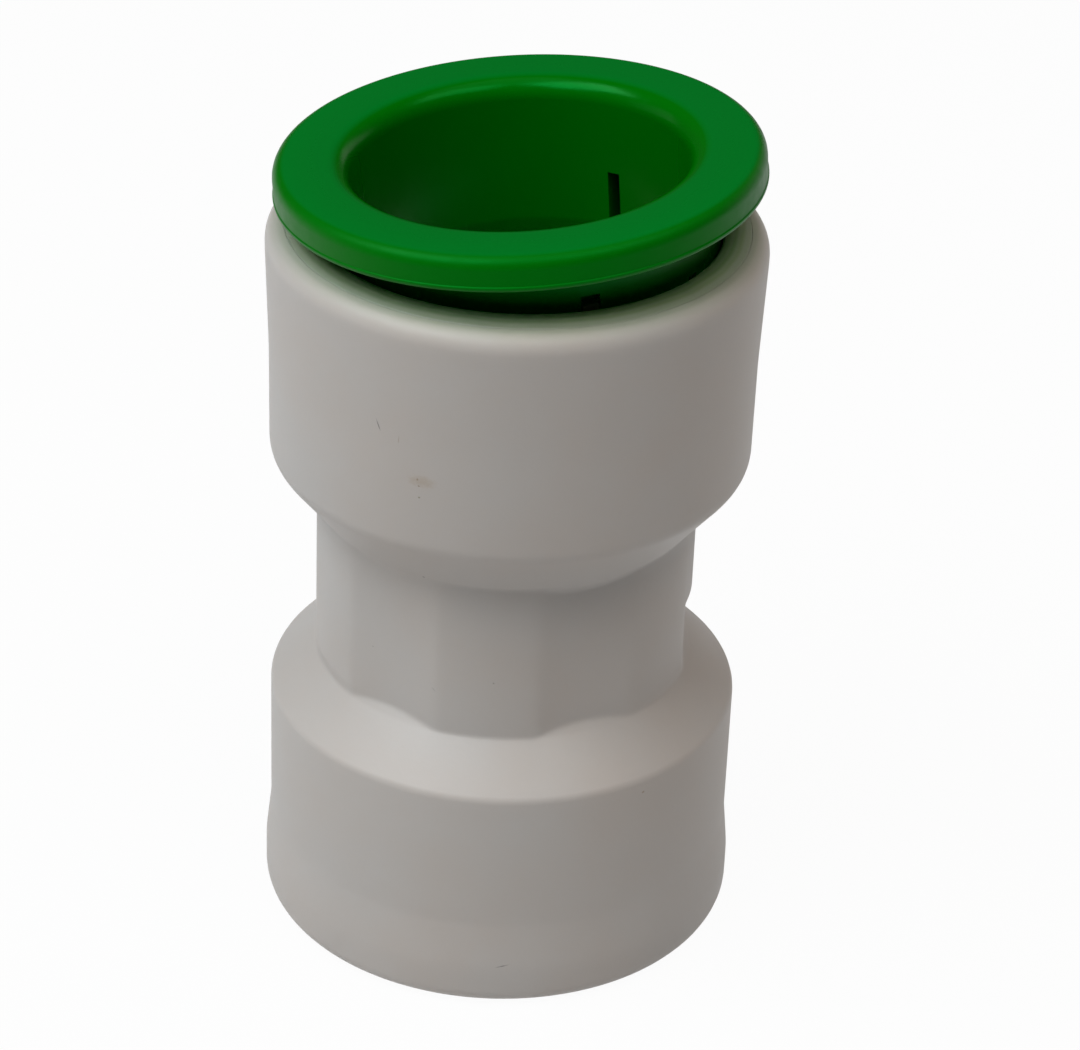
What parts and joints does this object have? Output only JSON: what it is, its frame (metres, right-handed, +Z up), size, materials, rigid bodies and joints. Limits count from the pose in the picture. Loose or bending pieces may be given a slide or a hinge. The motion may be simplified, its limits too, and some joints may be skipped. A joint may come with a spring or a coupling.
{
  "type": "plastic quick disconnect coupling",
  "caption": "Straight plastic water pipe coupling: push-fit bell with a flanged green release collet above, heat-fusion socket below.",
  "frame": {"origin": "centre of the lower end face, where the fusion-socket end stands", "axes": "+Z up the pipe axis to the push-fit mouth; -Y is the side the picture shows; +X to the picture's right"},
  "size_m": [0.038, 0.038, 0.0668],
  "materials": {
    "ppr_white": "moulded satin",
    "collet_green": "moulded semi-gloss",
    "tooth_steel": "rolled strip",
    "seal_rubber": "matte",
    "spacer_plastic": "moulded satin"
  },
  "bodies": {
    "housing": {"body": "ppr_white", "retaining_ring": "ppr_white", "o_ring": "seal_rubber", "spacer_ring": "spacer_plastic"},
    "collet": {"release_collet": "collet_green", "grip_tooth_1": "tooth_steel", "grip_tooth_2": "tooth_steel", "grip_tooth_3": "tooth_steel", "grip_tooth_4": "tooth_steel"}
  },
  "joints": [
    {"name": "collet_slide", "type": "slide", "parent": "housing", "child": "collet", "axis": [0, 0, -1], "range_m": [0, 0.0013]}
  ]
}
